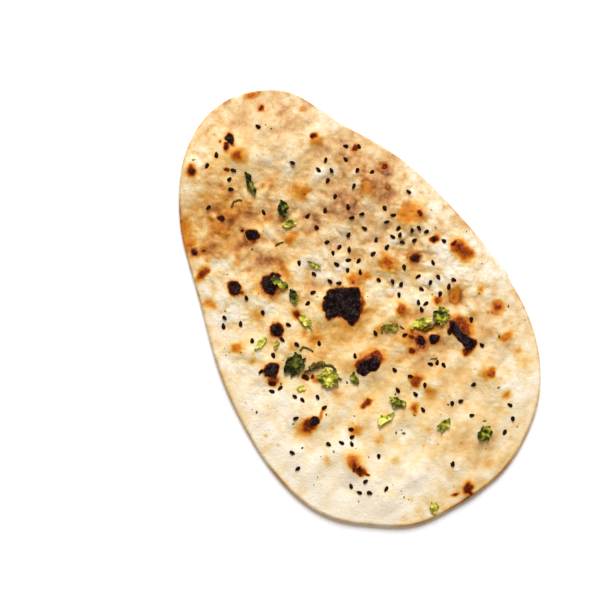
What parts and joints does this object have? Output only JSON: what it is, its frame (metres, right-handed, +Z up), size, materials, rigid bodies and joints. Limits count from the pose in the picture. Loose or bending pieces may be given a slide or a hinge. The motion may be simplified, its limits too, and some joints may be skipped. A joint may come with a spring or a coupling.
{
  "type": "naan bread",
  "caption": "Thin tear-shaped flatbread with charred blisters, black seeds and chopped coriander leaf, lying flat with softly lifted folds.",
  "frame": {"origin": "on the table, under the middle of the bread's bounding box", "axes": "+Y along the bread towards its narrow tip, +X across it, +Z up out of the seeded crust"},
  "size_m": [0.1572, 0.24, 0.0107],
  "materials": {
    "bread": "baked crust, matt",
    "coriander_dark": "satin leaf",
    "coriander_light": "satin leaf"
  },
  "bodies": {
    "root": {"bread": "bread", "coriander_01": "coriander_light", "coriander_02": "coriander_dark", "coriander_03": "coriander_light", "coriander_04": "coriander_dark", "coriander_05": "coriander_dark", "coriander_06": "coriander_light", "coriander_07": "coriander_light", "coriander_08": "coriander_light", "coriander_09": "coriander_dark", "coriander_10": "coriander_light", "coriander_11": "coriander_dark", "coriander_12": "coriander_light", "coriander_13": "coriander_dark", "coriander_14": "coriander_dark", "coriander_15": "coriander_light", "coriander_16": "coriander_light", "coriander_17": "coriander_light", "coriander_18": "coriander_dark"}
  },
  "joints": []
}
